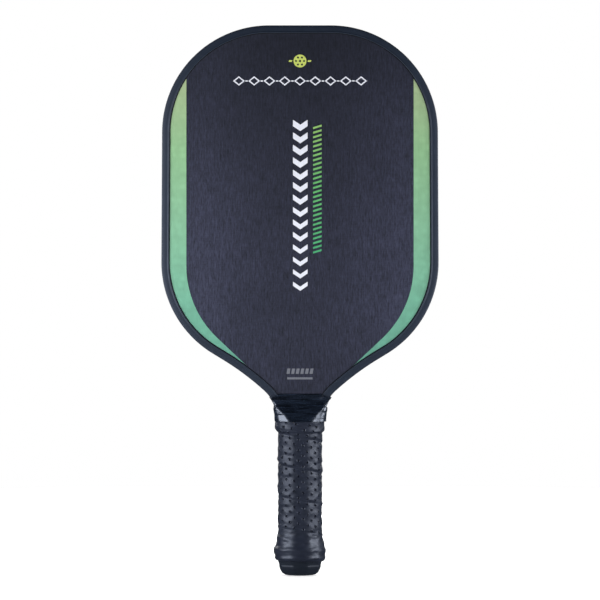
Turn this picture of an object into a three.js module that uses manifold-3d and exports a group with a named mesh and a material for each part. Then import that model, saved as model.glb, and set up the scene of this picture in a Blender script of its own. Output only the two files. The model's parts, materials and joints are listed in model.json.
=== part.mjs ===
// Pickleball paddle: a honeycomb panel with printed composite faces, an edge guard round its head, and
// a tongue that runs down between two handle pallets into a butt cap, under a cushioned grip.
//
// Millimetres. +Z runs up from the butt to the tip of the head, +X across the width, and the front
// face looks along -Y. Heights are given above the butt's end, and the finished group is lowered so
// that its origin is the middle of the grip, where a hand holds it.

import * as THREE from 'three';
import { mergeVertices } from 'three/addons/utils/BufferGeometryUtils.js';
import Module from 'manifold-3d';

const wasm = await Module();
wasm.setup();

// ---------------------------------------------------------------- driving dimensions

const PADDLE_LENGTH = 400;

// Layers of the panel, from its middle outwards.
const CORE_THICKNESS = 11;
const BOND_THICKNESS = 0.125;
const SHEET_THICKNESS = 0.5;
const FILM_THICKNESS = 0.125;

// The head's outline runs clockwise from its top centre down the right side. Each leg is a straight,
// or a turn in degrees at a radius; a negative turn is a hollow curve. The edge guard ends with the
// head's last leg, and the neck carries on beneath the tape and the grip into the tongue.
const CORNER_RADIUS = 77.8;
const THROAT_RADIUS = 29;
const HEAD_LEGS = [
  { straight: 22.5 },
  { radius: CORNER_RADIUS, turn: 89.7 },
  { straight: 94.4 },
  { radius: CORNER_RADIUS, turn: 58.9 },
  { straight: 8.9 },
  { radius: 197, turn: -10.9 },
  { radius: THROAT_RADIUS, turn: -28 },
];
const NECK_LEGS = [
  { radius: THROAT_RADIUS, turn: -4.7 },
  { straight: 8 },
  { radius: 60, turn: -15 },
];
const TONGUE_END = 6.3;
const CHORD_ERROR = 0.1;

// The flat middle of each face that meets the ball.
const HITTING_ZONE = { halfWidth: 60, bottom: 190, top: 335 };

// The edge guard is a channel: its outer wall, and a lip on each face of the panel.
const GUARD_WALL = 1.25;
const GUARD_LIP_WIDTH = 6;
const GUARD_LIP_THICKNESS = 1;
const GUARD_ADHESIVE = 0.5;

// The core's cells, coarser than real ones, with walls that give about the same density. A cell that
// the rim cuts down to less than the smallest share of a whole one is left out.
const CELL_PITCH = 20;
const CELL_WALL = 0.7;
const CORE_RIM = 1.2;
const SMALLEST_CELL_SHARE = 0.15;

// The handle: two pallets on the tongue, then the base tape and the grip. It is an octagon with
// rounded corners: two sides, a front and a back, and four bevels, each tilted from the front or the
// back and set back a little further than the sides are. Profiles are rows of height, half width and
// half thickness.
const PALLET_TAPE = 0.25;
const PALLET_TAPE_STRIP = { halfWidth: 12, bottom: 8, top: 119 };
const BEVEL_TILT = THREE.MathUtils.degToRad(33);
const BEVEL_SETBACK = 1.4;
const SMALLEST_BEVEL_CUT = 0.15;
const HANDLE_CORNER = 4.9;
const SMALLEST_CORNER = 3;
const SIDE_CORNER_STEPS = 5;
const FRONT_CORNER_STEPS = 3;
const PALLET_PROFILE = [
  [TONGUE_END, 13.9, 12.25],
  [104, 13.9, 12.25],
  [112, 14.4, 12.25],
  [117, 15.1, 10.9],
  [121, 15.9, 8.4],
  [122, 16, 7.6],
];
const BASE_TAPE_PROFILE = [
  [26, 14.25, 12.6],
  [100, 14.25, 12.6],
];
const BASE_TAPE_THICKNESS = 0.2;
const GRIP_OUTSIDE = [
  [11, 17.4, 15.7],
  [12.5, 18.2, 16.5],
  [16.7, 18.7, 17],
  [21, 18.2, 16.5],
  [25.4, 17, 15.3],
  [32, 16.1, 14.35],
  [98, 16.1, 14.35],
  [103.5, 16.5, 14.7],
  [104.8, 17.8, 15.4],
  [111.9, 18.1, 15],
];
const GRIP_INSIDE = [
  [11, 16.3, 14.5],
  [16.7, 16.9, 15.15],
  [21, 16.3, 14.6],
  [24.8, 15.4, 13.7],
  [27, 14.5, 12.85],
  [98, 14.5, 12.85],
  [104, 14.9, 12.85],
  [111.9, 15.5, 12.85],
];
const FINISHING_TAPE_PROFILE = [
  [112.3, 18.1, 14.6],
  [117, 18.4, 12],
  [121, 19.1, 9.6],
  [124.5, 20, 8.5],
  [128, 21.8, 8.4],
  [132, 25, 8.4],
];
const FINISHING_TAPE_THICKNESS = 0.5;

// The butt cap is a cup over the handle's end, held by a tack through its front and back walls.
const CAP_OUTSIDE = [
  [0, 8.5, 6.7],
  [0.9, 11.6, 9.8],
  [2.2, 13.2, 11.4],
  [3.8, 14.3, 12.5],
  [5.8, 15.3, 13.5],
  [8.2, 16, 14.2],
  [10.7, 16.2, 14.4],
  [11, 15.9, 14.1],
  [16.7, 16.6, 14.85],
  [21, 16, 14.3],
  [24.5, 15.1, 13.4],
];
const CAP_INSIDE = [
  [24.5, 14.2, 12.55],
  [6, 14.2, 12.55],
];
const TACK_HEIGHT = 16;
const TACK_FACE = 14.4;
const TACK_HEAD_RADIUS = 1.8;
const TACK_HEAD_THICKNESS = 0.8;
const TACK_SHANK_RADIUS = 0.7;
const TACK_LENGTH = 6.5;
const TACK_GAP = 0.3;
const TACK_SIDES = 12;

// ---------------------------------------------------------------- what follows from them

const gripBottom = GRIP_OUTSIDE[0][0];
const gripTop = GRIP_OUTSIDE.at(-1)[0];
const gripCentre = (gripBottom + gripTop) / 2;

const coreFace = CORE_THICKNESS / 2;
const bondFace = coreFace + BOND_THICKNESS;
const sheetFace = bondFace + SHEET_THICKNESS;
const filmFace = sheetFace + FILM_THICKNESS;
const palletFoot = filmFace + PALLET_TAPE;
const guardFace = filmFace + GUARD_LIP_THICKNESS;
const panelInset = GUARD_WALL + GUARD_ADHESIVE;

// ---------------------------------------------------------------- the outline

// Walks the legs from a start. A station is a point of the outline, its heading in radians clockwise
// from +X, and the direction that points into the panel.
function walk(legs, start) {
  const stations = [start];
  let here = start;
  const step = (point, heading) => {
    const inward = new THREE.Vector2(-Math.sin(heading), -Math.cos(heading));
    here = { point, heading, inward };
    stations.push(here);
  };
  for (const { straight, radius, turn } of legs) {
    const from = here.heading;
    if (straight) {
      const along = new THREE.Vector2(Math.cos(from), -Math.sin(from));
      step(here.point.clone().addScaledVector(along, straight), from);
      continue;
    }
    const side = Math.sign(turn);
    const centre = here.point.clone().addScaledVector(here.inward, side * radius);
    const angle = THREE.MathUtils.degToRad(turn);
    const count = Math.ceil(Math.abs(angle) / (2 * Math.acos(1 - CHORD_ERROR / radius)));
    for (let i = 1; i <= count; i++) {
      const heading = from + (angle * i) / count;
      const outward = new THREE.Vector2(Math.sin(heading), Math.cos(heading));
      step(centre.clone().addScaledVector(outward, side * radius), heading);
    }
  }
  return stations;
}

const insetPoint = (station, inset) => station.point.clone().addScaledVector(station.inward, inset);

// Both sides of a run of stations, from the left one's end over the top to the right one's end.
function bothSides(stations, inset) {
  const right = stations.map((station) => insetPoint(station, inset));
  const left = right.slice(1).reverse().map((p) => new THREE.Vector2(-p.x, p.y));
  return [...left, ...right];
}

const topCentre = {
  point: new THREE.Vector2(0, PADDLE_LENGTH),
  heading: 0,
  inward: new THREE.Vector2(0, -1),
};
const headStations = walk(HEAD_LEGS, topCentre);
const neckStations = walk(NECK_LEGS, headStations.at(-1)).slice(1);
const neckEnd = neckStations.at(-1);
const tongueEnd = { ...neckEnd, point: new THREE.Vector2(neckEnd.point.x, TONGUE_END) };
const panelStations = [...headStations, ...neckStations, tongueEnd];
const panelOutline = bothSides(panelStations, panelInset);

// ---------------------------------------------------------------- bodies from loops and rings

const isClockwise = THREE.ShapeUtils.isClockWise;
const flip = ([a, b, c]) => [a, c, b];

function wind(loop, clockwise) {
  return isClockwise(loop) === clockwise ? loop : [...loop].reverse();
}

// Triangles that fill an outline around its holes, wound the way the outline runs.
function fill(outline, holes = []) {
  const corners = [...outline, ...holes.flat()];
  const faces = THREE.ShapeUtils.triangulateShape([...outline], holes);
  const first = faces[0].map((i) => corners[i]);
  return isClockwise(first) === isClockwise(outline) ? faces : faces.map(flip);
}

function body(corners, triangles) {
  return new THREE.BufferGeometry().setFromPoints(corners).setIndex(triangles.flat());
}

// A flat layer of the panel between two depths. An island is a part of both faces with corners of its
// own, which gives the face a flat middle away from its rim.
function layer(shape, front, back, island = null) {
  const outline = wind(shape, false);
  const patches = island ? [wind(island, true)] : [];
  const flat = [outline, ...patches].flat();
  const faces = fill(outline, patches);
  for (const patch of patches) {
    faces.push(...fill(patch).map((face) => flip(face).map((i) => i + outline.length)));
  }
  const triangles = faces.flatMap((face) => [face, flip(face).map((i) => i + flat.length)]);
  outline.forEach((_, a) => {
    const b = (a + 1) % outline.length;
    triangles.push([a, b + flat.length, b], [a, a + flat.length, b + flat.length]);
  });
  const corners = [front, back].flatMap((y) => flat.map((p) => new THREE.Vector3(p.x, y, p.y)));
  return body(corners, triangles);
}

// Joins rings of equally many corners. A section closes both ends; without one the last ring joins
// the first. The result is turned if it faces inwards.
function loft(rings, section = null) {
  const count = rings[0].length;
  const spans = section ? rings.length - 1 : rings.length;
  const triangles = [];
  for (let ring = 0; ring < spans; ring++) {
    const low = ring * count;
    const high = ((ring + 1) % rings.length) * count;
    for (let i = 0; i < count; i++) {
      const j = (i + 1) % count;
      triangles.push([low + i, low + j, high + j], [low + i, high + j, high + i]);
    }
  }
  if (section) {
    const last = spans * count;
    for (const face of fill(section)) {
      triangles.push(flip(face), face.map((i) => i + last));
    }
  }
  const corners = rings.flat();
  const volume = triangles.reduce((sum, [a, b, c]) => {
    const across = corners[b].clone().cross(corners[c]);
    return sum + corners[a].dot(across);
  }, 0);
  return body(corners, volume > 0 ? triangles : triangles.map(flip));
}

// Carries a section of insets and depths round the head, from one end of the guard to the other.
function sweep(section) {
  const right = headStations.map((station) => section.map(({ x: inset, y }) => {
    const point = insetPoint(station, inset);
    return new THREE.Vector3(point.x, y, point.y);
  }));
  const mirror = (ring) => ring.map((p) => new THREE.Vector3(-p.x, p.y, p.z));
  const left = right.slice(1).reverse().map(mirror);
  return loft([...left, ...right], section);
}

// The two rounded corners of a quarter of the handle's octagon: side to bevel, and bevel to front.
function handleCorners(halfWidth, halfThickness, radius) {
  const [across, along] = [Math.sin(BEVEL_TILT), Math.cos(BEVEL_TILT)];
  const [width, depth] = [halfWidth - radius, halfThickness - radius];
  const uncut = width * across + depth * along;
  const bevel = Math.min(width - BEVEL_SETBACK, uncut - SMALLEST_BEVEL_CUT);
  const turned = Math.PI / 2 - BEVEL_TILT;
  return [
    { x: width, y: (bevel - width * across) / along, from: 0, to: turned, steps: SIDE_CORNER_STEPS },
    { x: (bevel - depth * along) / across, y: depth, from: turned, to: Math.PI / 2,
      steps: FRONT_CORNER_STEPS },
  ];
}

function cornerArc({ x, y, from, to, steps }, radius) {
  const points = [];
  for (let i = 0; i <= steps; i++) {
    const angle = from + ((to - from) * i) / steps;
    points.push(new THREE.Vector2(x + radius * Math.cos(angle), y + radius * Math.sin(angle)));
  }
  return points;
}

const acrossTheMiddle = (points) => [...points].reverse().map((p) => new THREE.Vector2(-p.x, p.y));
const atHeight = (points, height) => points.map((p) => new THREE.Vector3(p.x, p.y, height));

// The handle's whole octagon at one height.
function handleRing([height, halfWidth, halfThickness]) {
  const offset = halfThickness - PALLET_PROFILE[0][2];
  const radius = Math.max(HANDLE_CORNER + offset, SMALLEST_CORNER);
  const corners = handleCorners(halfWidth, halfThickness, radius);
  const quarter = corners.flatMap((corner) => cornerArc(corner, radius));
  const half = [...quarter, ...acrossTheMiddle(quarter)];
  return atHeight([...half, ...half.map((p) => p.clone().negate())], height);
}

// The part of the octagon that stands on one face of the tongue.
function palletRing([height, halfWidth, halfThickness], side) {
  const [sideCorner, frontCorner] = handleCorners(halfWidth, halfThickness, HANDLE_CORNER);
  const from = Math.asin((palletFoot - sideCorner.y) / HANDLE_CORNER);
  const right = [
    ...cornerArc({ ...sideCorner, from }, HANDLE_CORNER),
    ...cornerArc(frontCorner, HANDLE_CORNER),
  ];
  right[0].y = palletFoot;
  const whole = [...right, ...acrossTheMiddle(right)];
  return atHeight(whole.map((p) => new THREE.Vector2(p.x, side * p.y)), height);
}

const seenFromAbove = (ring) => ring.map((p) => new THREE.Vector2(p.x, p.y));

function sleeve(outside, inside) {
  return loft([...outside.map(handleRing), ...[...inside].reverse().map(handleRing)]);
}

function thinSleeve(profile, thickness) {
  const inside = profile.map(([z, width, depth]) => [z, width - thickness, depth - thickness]);
  return sleeve(profile, inside);
}

// ---------------------------------------------------------------- joins and cuts

function solidOf(geometry) {
  const plain = geometry.clone();
  plain.deleteAttribute('normal');
  plain.deleteAttribute('uv');
  const { attributes, index } = mergeVertices(plain);
  const vertProperties = new Float32Array(attributes.position.array);
  const triVerts = new Uint32Array(index.array);
  return new wasm.Manifold(new wasm.Mesh({ numProp: 3, vertProperties, triVerts }));
}

function geometryOf(solid) {
  const { vertProperties, triVerts } = solid.getMesh();
  const result = new THREE.BufferGeometry();
  result.setAttribute('position', new THREE.BufferAttribute(vertProperties, 3));
  return result.setIndex([...triVerts]);
}

const cut = (geometry, tool) => geometryOf(solidOf(geometry).subtract(solidOf(tool)));

// ---------------------------------------------------------------- the pieces

// The hexagons that cover the panel, row by row from the butt up.
function cellLoops() {
  const radius = (CELL_PITCH - CELL_WALL) / Math.sqrt(3);
  const rowHeight = (CELL_PITCH * Math.sqrt(3)) / 2;
  const rows = Math.floor(PADDLE_LENGTH / rowHeight) + 1;
  const reach = Math.ceil(PADDLE_LENGTH / 4 / CELL_PITCH) + 1;
  const loops = [];
  for (let row = 0; row <= rows; row++) {
    for (let column = -reach; column <= reach; column++) {
      const x = (column + (row % 2) / 2) * CELL_PITCH;
      loops.push([30, 90, 150, 210, 270, 330].map((degrees) => {
        const angle = THREE.MathUtils.degToRad(degrees);
        const z = row * rowHeight + radius * Math.sin(angle);
        return new THREE.Vector2(x + radius * Math.cos(angle), z);
      }));
    }
  }
  return loops;
}

// The panel with its cells cut through it, each one kept clear of the rim.
function honeycomb() {
  const rimStations = [...panelStations.slice(0, -1), {
    ...tongueEnd,
    point: tongueEnd.point.clone().setY(TONGUE_END + CORE_RIM),
  }];
  const through = coreFace + 1;
  const inside = solidOf(layer(bothSides(rimStations, panelInset + CORE_RIM), -through, through));
  const cells = cellLoops().map((loop) => solidOf(layer(loop, -through, through)));
  const smallest = SMALLEST_CELL_SHARE * cells[0].volume();
  const trimmed = cells.map((cell) => cell.intersect(inside));
  const kept = trimmed.filter((cell) => cell.volume() > smallest);
  const panel = solidOf(layer(panelOutline, -coreFace, coreFace));
  const core = geometryOf(panel.subtract(wasm.Manifold.union(kept)));
  const { position } = core.attributes;
  for (let i = 0; i < position.count; i++) {
    position.setY(i, Math.sign(position.getY(i)) * coreFace);
  }
  return core;
}

function upright({ halfWidth, bottom, top }) {
  const corners = [[-halfWidth, bottom], [halfWidth, bottom], [halfWidth, top], [-halfWidth, top]];
  return corners.map(([x, z]) => new THREE.Vector2(x, z));
}

function guardSection() {
  const upper = [
    [0, guardFace - 2.3],
    [0.6, guardFace - 0.6],
    [2.2, guardFace],
    [GUARD_LIP_WIDTH - 0.4, guardFace],
    [GUARD_LIP_WIDTH, guardFace - 0.4],
    [GUARD_LIP_WIDTH, filmFace],
    [GUARD_WALL, filmFace],
  ].map(([inset, y]) => new THREE.Vector2(inset, y));
  return [...upper, ...[...upper].reverse().map((p) => new THREE.Vector2(p.x, -p.y))];
}

function guardAdhesiveSection() {
  const [outer, inner, depth] = [GUARD_WALL, panelInset, coreFace];
  const corners = [[outer, -depth], [inner, -depth], [inner, depth], [outer, depth]];
  return corners.map(([inset, y]) => new THREE.Vector2(inset, y));
}

// A tack's outline from the middle of its point to the middle of its head, as radius and depth.
function tack(gap) {
  const face = TACK_FACE + (gap ? 1 : 0);
  const neck = TACK_FACE - TACK_HEAD_THICKNESS - gap;
  const profile = [
    [0, TACK_FACE - TACK_LENGTH - gap],
    [TACK_SHANK_RADIUS + gap, TACK_FACE - TACK_LENGTH - gap],
    [TACK_SHANK_RADIUS + gap, neck],
    [TACK_HEAD_RADIUS + gap, neck],
    [TACK_HEAD_RADIUS + gap, face],
    [0, face],
  ].map(([radius, y]) => new THREE.Vector2(radius, y));
  return new THREE.LatheGeometry(profile, TACK_SIDES);
}

function tackAt(side, gap = 0) {
  const geometry = tack(gap);
  if (side < 0) {
    geometry.rotateX(Math.PI);
  }
  return geometry.translate(0, 0, TACK_HEIGHT);
}

function pallet(side) {
  const rings = PALLET_PROFILE.map((row) => palletRing(row, side));
  return cut(loft(rings, seenFromAbove(rings[0])), tackAt(side, TACK_GAP));
}

function buttCap() {
  const rings = [...CAP_OUTSIDE, ...CAP_INSIDE].map(handleRing);
  const cup = loft(rings, seenFromAbove(rings[0]));
  return cut(cut(cup, tackAt(-1, TACK_GAP)), tackAt(1, TACK_GAP));
}

// A layer on one side of the core, between two depths counted from the panel's middle.
function sideLayer(shape, side, inner, outer, island = null) {
  const [front, back] = side < 0 ? [-outer, -inner] : [inner, outer];
  return layer(shape, front, back, island);
}

// ---------------------------------------------------------------- the paddle

const finish = (color, roughness, metalness = 0) =>
  new THREE.MeshStandardMaterial({ color, roughness, metalness });

const MATERIALS = {
  core: finish(0xd9dcd6, 0.6),
  bond: finish(0xb9a56b, 0.4),
  composite: finish(0x24262b, 0.5),
  print: finish(0x32353f, 0.5),
  guard: finish(0x343c47, 0.45),
  adhesive: finish(0xe8e6df, 0.7),
  pallet: finish(0x9e805c, 0.7),
  cap: finish(0x14181f, 0.3),
  steel: finish(0xa8adb3, 0.35, 1),
  baseTape: finish(0xefe9d8, 0.8),
  grip: finish(0x30353f, 0.6),
  tape: finish(0x0b0f16, 0.2),
};

const paddle = new THREE.Group();

function add(name, geometry, material) {
  const mesh = new THREE.Mesh(geometry, MATERIALS[material]);
  mesh.name = name;
  paddle.add(mesh);
}

add('honeycomb_core', honeycomb(), 'core');
add('edge_guard', sweep(guardSection()), 'guard');
add('edge_guard_adhesive', sweep(guardAdhesiveSection()), 'adhesive');
for (const [word, side] of [['front', -1], ['back', 1]]) {
  const film = sideLayer(panelOutline, side, sheetFace, filmFace, upright(HITTING_ZONE));
  const tape = sideLayer(upright(PALLET_TAPE_STRIP), side, filmFace, palletFoot);
  add(`${word}_bond_film`, sideLayer(panelOutline, side, coreFace, bondFace), 'bond');
  add(`${word}_face_sheet`, sideLayer(panelOutline, side, bondFace, sheetFace), 'composite');
  add(`${word}_graphic_film`, film, 'print');
  add(`${word}_pallet_tape`, tape, 'adhesive');
  add(`${word}_handle_pallet`, pallet(side), 'pallet');
  add(`${word}_cap_tack`, tackAt(side), 'steel');
}
add('butt_cap', buttCap(), 'cap');
add('grip_base_tape', thinSleeve(BASE_TAPE_PROFILE, BASE_TAPE_THICKNESS), 'baseTape');
add('grip_wrap', sleeve(GRIP_OUTSIDE, GRIP_INSIDE), 'grip');
add('finishing_tape', thinSleeve(FINISHING_TAPE_PROFILE, FINISHING_TAPE_THICKNESS), 'tape');

paddle.position.z = -gripCentre;

export default paddle;
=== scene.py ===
import json
import math

import bpy
import numpy as np
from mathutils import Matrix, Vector
from mathutils.geometry import tessellate_polygon


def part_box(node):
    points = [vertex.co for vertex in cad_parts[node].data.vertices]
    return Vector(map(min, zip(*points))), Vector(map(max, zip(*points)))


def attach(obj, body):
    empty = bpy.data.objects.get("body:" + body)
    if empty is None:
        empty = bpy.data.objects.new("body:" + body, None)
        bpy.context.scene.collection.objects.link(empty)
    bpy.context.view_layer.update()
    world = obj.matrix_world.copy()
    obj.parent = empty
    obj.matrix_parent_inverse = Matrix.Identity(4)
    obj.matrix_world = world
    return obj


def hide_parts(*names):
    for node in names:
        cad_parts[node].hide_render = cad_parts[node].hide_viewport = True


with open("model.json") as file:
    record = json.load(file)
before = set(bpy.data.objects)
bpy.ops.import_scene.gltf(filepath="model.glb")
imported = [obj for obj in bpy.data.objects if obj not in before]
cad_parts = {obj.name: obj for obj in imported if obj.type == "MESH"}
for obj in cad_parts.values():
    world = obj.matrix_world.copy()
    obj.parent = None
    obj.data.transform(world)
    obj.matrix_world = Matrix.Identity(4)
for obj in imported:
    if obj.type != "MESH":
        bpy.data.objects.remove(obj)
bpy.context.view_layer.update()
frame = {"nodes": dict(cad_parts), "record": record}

# Shapes are worked out in millimetres: x across the head, y out of the back face, and heights above
# the butt's end. Pieces are placed in the frame's metres as they are made.
MM = 0.001
BUTT_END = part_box("butt_cap")[0].z
FILM_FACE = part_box("back_graphic_film")[1].y / MM
GUARD_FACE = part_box("edge_guard")[1].y / MM
PADDLE_LENGTH = (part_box("edge_guard")[1].z - BUTT_END) / MM
GUARD_END = (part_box("edge_guard")[0].z - BUTT_END) / MM
GRIP_BOTTOM = (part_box("grip_wrap")[0].z - BUTT_END) / MM
GRIP_TOP = (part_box("grip_wrap")[1].z - BUTT_END) / MM


# ---------------------------------------------------------------- materials

def srgb(red, green, blue):
    """A display colour from 0 to 255 as the linear colour that shaders take."""
    shares = [value / 255 for value in (red, green, blue)]
    return (*[s / 12.92 if s <= 0.04045 else ((s + 0.055) / 1.055) ** 2.4 for s in shares], 1.0)


class Finish:
    """A procedural material. Its methods add nodes and return their output sockets."""

    def __init__(self, name, roughness=0.5, **constants):
        self.material = bpy.data.materials.new(name)
        self.material.use_nodes = True
        self.tree = self.material.node_tree
        self.shader = self.tree.nodes["Principled BSDF"]
        self.shader.inputs["Roughness"].default_value = roughness
        for socket, value in constants.items():
            self.shader.inputs[socket.replace("_", " ")].default_value = value

    def node(self, kind, values=None, **settings):
        made = self.tree.nodes.new(kind)
        for name, value in settings.items():
            setattr(made, name, value)
        for socket, value in (values or {}).items():
            if isinstance(value, bpy.types.NodeSocket):
                self.tree.links.new(value, made.inputs[socket])
            else:
                made.inputs[socket].default_value = value
        return made

    def link(self, value, socket):
        self.tree.links.new(value, self.shader.inputs[socket])

    def math(self, operation, *values):
        made = self.node("ShaderNodeMath", dict(enumerate(values)), operation=operation)
        return made.outputs["Value"]

    def position(self):
        return self.node("ShaderNodeTexCoord").outputs["Object"]

    def height(self):
        """The height above the butt's end, in metres."""
        parts = self.node("ShaderNodeSeparateXYZ", {0: self.position()})
        return self.math("SUBTRACT", parts.outputs["Z"], BUTT_END)

    def grain(self, size, detail=2.0, roughness=0.5, distortion=0.0):
        """Noise from 0 to 1 whose features measure about size, three lengths in millimetres."""
        scale = [1 / (length * MM) for length in size]
        mapping = self.node("ShaderNodeMapping", {"Vector": self.position(), "Scale": scale})
        values = {"Vector": mapping.outputs["Vector"], "Scale": 1.0, "Detail": detail,
                  "Roughness": roughness, "Distortion": distortion}
        return self.node("ShaderNodeTexNoise", values).outputs["Fac"]

    def cells(self, size):
        """Cells of about a size in millimetres: 0 in a cell's middle, rising to its rim."""
        values = {"Vector": self.position(), "Scale": 1 / (size * MM), "Randomness": 0.55}
        return self.node("ShaderNodeTexVoronoi", values).outputs["Distance"]

    def spread(self, value, low, high, out_low=0.0, out_high=1.0):
        values = {"Value": value, "From Min": low, "From Max": high, "To Min": out_low,
                  "To Max": out_high}
        return self.node("ShaderNodeMapRange", values).outputs["Result"]

    def ramp(self, value, stops):
        made = self.node("ShaderNodeValToRGB", {"Fac": value})
        elements = made.color_ramp.elements
        while len(elements) < len(stops):
            elements.new(0.5)
        for element, (place, color) in zip(elements, stops):
            element.position = place
            element.color = color
        return made.outputs["Color"]

    def mix(self, share, first, second, blend="MIX"):
        made = self.node("ShaderNodeMix", data_type="RGBA", blend_type=blend)
        for socket, value in ((0, share), (6, first), (7, second)):
            if isinstance(value, bpy.types.NodeSocket):
                self.tree.links.new(value, made.inputs[socket])
            else:
                made.inputs[socket].default_value = value
        return made.outputs[2]

    def tint(self, color, value, low, high):
        """A colour made darker or lighter, by low to high times, as value runs from 0 to 1."""
        level = self.spread(value, 0.0, 1.0, low, high)
        grey = self.node("ShaderNodeCombineColor", {"Red": level, "Green": level, "Blue": level})
        return self.mix(1.0, color, grey.outputs["Color"], "MULTIPLY")

    def bump(self, height, depth, strength=1.0):
        """Bumps of a depth in millimetres."""
        values = {"Height": height, "Distance": depth * MM, "Strength": strength}
        self.link(self.node("ShaderNodeBump", values).outputs["Normal"], "Normal")


# The tint of everything's gloss: the studio's light is a little cool.
COOL = (0.74, 0.82, 1.0, 1.0)

# Noise seldom leaves the first range. Spreading the second one from 0 to 1 gives clearer patches.
NOISE_RANGE = (0.3, 0.7)
PATCH_RANGE = (0.35, 0.65)

# The grain on the faces: the size of each kind of thread in millimetres, and its share.
THREADS = (1.1, 60, 8)
THREADS_SHARE = 0.6
FINE_THREADS = (0.6, 60, 2.5)
FINE_SHARE = 0.28
CROSS_THREADS = (6, 60, 0.6)
CROSS_SHARE = 0.12


def linen(finish):
    """The face's grain: upright threads, a few strong and most faint, with a weak cross weave."""
    threads = finish.grain(THREADS, 3.0, 0.7)
    fine = finish.grain(FINE_THREADS, 1.0)
    cross = finish.grain(CROSS_THREADS, 1.0)
    upright = finish.math("ADD", finish.math("MULTIPLY", threads, THREADS_SHARE),
                          finish.math("MULTIPLY", fine, FINE_SHARE))
    return finish.math("ADD", upright, finish.math("MULTIPLY", cross, CROSS_SHARE))


PRINT_ROUGHNESS = 0.5
PRINT_GLOSS_SPREAD = 0.07
PRINT_BUMP = 0.12
WEAVE_RANGE = (0.32, 0.68)


def printed(name, color, contrast):
    """A print on the face's grain. color is a colour, or a function that makes its socket."""
    finish = Finish(name, PRINT_ROUGHNESS, Specular_Tint=COOL)
    weave = linen(finish)
    base = color(finish) if callable(color) else color
    finish.link(finish.tint(base, finish.spread(weave, *WEAVE_RANGE), 1 - contrast, 1 + contrast),
                "Base Color")
    finish.link(finish.spread(weave, *NOISE_RANGE, PRINT_ROUGHNESS + PRINT_GLOSS_SPREAD,
                              PRINT_ROUGHNESS - PRINT_GLOSS_SPREAD), "Roughness")
    finish.bump(weave, PRINT_BUMP, 0.8)
    return finish.material


def by_height(stops):
    """A colour that follows the height, from rows of a height in millimetres and a colour."""
    low, high = stops[0][0], stops[-1][0]

    def color(finish):
        share = finish.spread(finish.height(), low * MM, high * MM)
        return finish.ramp(share, [((height - low) / (high - low), c) for height, c in stops])
    return color


# Heights in millimetres and the colours there.
BAND_COLORS = [(150, srgb(84, 142, 123)), (200, srgb(101, 157, 132)), (255, srgb(117, 165, 132)),
               (310, srgb(128, 169, 125)), (362, srgb(149, 166, 125))]
STRIPE_COLORS = [(232, srgb(62, 150, 100)), (285, srgb(88, 160, 92)), (334, srgb(132, 170, 92))]
MOTTLE_SIZE = 5.5


def band_color(finish):
    """The green of the bands, with a mottle of soft cells and cloudier patches."""
    base = by_height(BAND_COLORS)(finish)
    mottle = finish.spread(finish.cells(MOTTLE_SIZE), 0.15, 0.6)
    clouds = finish.spread(finish.grain((7, 60, 9)), *PATCH_RANGE)
    return finish.tint(finish.tint(base, mottle, 1.06, 0.94), clouds, 0.95, 1.05)


FILM_COLOR = srgb(36, 37, 51)
# The next four numbers paint light onto the dark print: a sheen that lightens it towards the face's
# sides, and shade that darkens it towards the top of the head.
FILM_SHEEN_REACH = 70.0
FILM_PAINTED_SHEEN_GAIN = (0.94, 1.45)
FILM_PAINTED_SHADE_FADE = (240.0, 385.0)
FILM_TIP_PAINTED_SHADE = 0.48


def film_color_with_painted_light(finish):
    """The dark print, a little cloudy, with painted shade that darkens it towards the top of the
    head and painted sheen that lightens it towards its sides.
    """
    parts = finish.node("ShaderNodeSeparateXYZ", {0: finish.position()})
    out = finish.math("DIVIDE", parts.outputs["X"], FILM_SHEEN_REACH * MM)
    painted_sheen_share = finish.math("MULTIPLY", out, out)
    painted_shade_share = finish.spread(finish.height(), FILM_PAINTED_SHADE_FADE[0] * MM, FILM_PAINTED_SHADE_FADE[1] * MM)
    clouds = finish.spread(finish.grain((35, 200, 50)), *PATCH_RANGE)
    base = finish.tint(FILM_COLOR, clouds, 0.92, 1.08)
    # Painted sheen lightens the sides and painted shade darkens the top.
    return finish.tint(finish.tint(base, painted_sheen_share, *FILM_PAINTED_SHEEN_GAIN), painted_shade_share, 1.0, FILM_TIP_PAINTED_SHADE)


GUARD_COLOR = srgb(25, 33, 46)
GUARD_ROUGHNESS = (0.5, 0.6)
# Painted shadow along the guard's inner edge, where it meets the face.
SHADOW_GAP_COLOR = srgb(5, 8, 10)
TAPE_COLOR = srgb(14, 20, 30)
TAPE_ROUGHNESS = (0.2, 0.3)
CAP_COLOR = srgb(22, 27, 36)
CAP_ROUGHNESS = (0.36, 0.46)


def guard_plastic():
    """Satin plastic with fine pores and faint clouds in its colour and gloss."""
    finish = Finish("guard_plastic", 0.55, Specular_IOR_Level=0.42, Specular_Tint=COOL)
    patches = finish.spread(finish.grain((9, 9, 9)), *PATCH_RANGE)
    finish.link(finish.tint(GUARD_COLOR, patches, 0.94, 1.06), "Base Color")
    pores = finish.grain((0.35, 0.35, 0.35), 2.0)
    gloss = finish.grain((3, 3, 3))
    finish.link(finish.spread(gloss, *NOISE_RANGE, *GUARD_ROUGHNESS), "Roughness")
    finish.bump(pores, 0.05, 0.4)
    return finish.material


def painted_shadow_gap():
    """Painted shadow: a matt near-black finish for the low foot between the guard and the face."""
    finish = Finish("painted_shadow_gap", 0.85, Specular_IOR_Level=0.2)
    patches = finish.grain((2, 2, 2))
    finish.link(finish.tint(SHADOW_GAP_COLOR, patches, 0.8, 1.2), "Base Color")
    finish.bump(finish.grain((0.3, 0.3, 0.3)), 0.05)
    return finish.material


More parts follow.
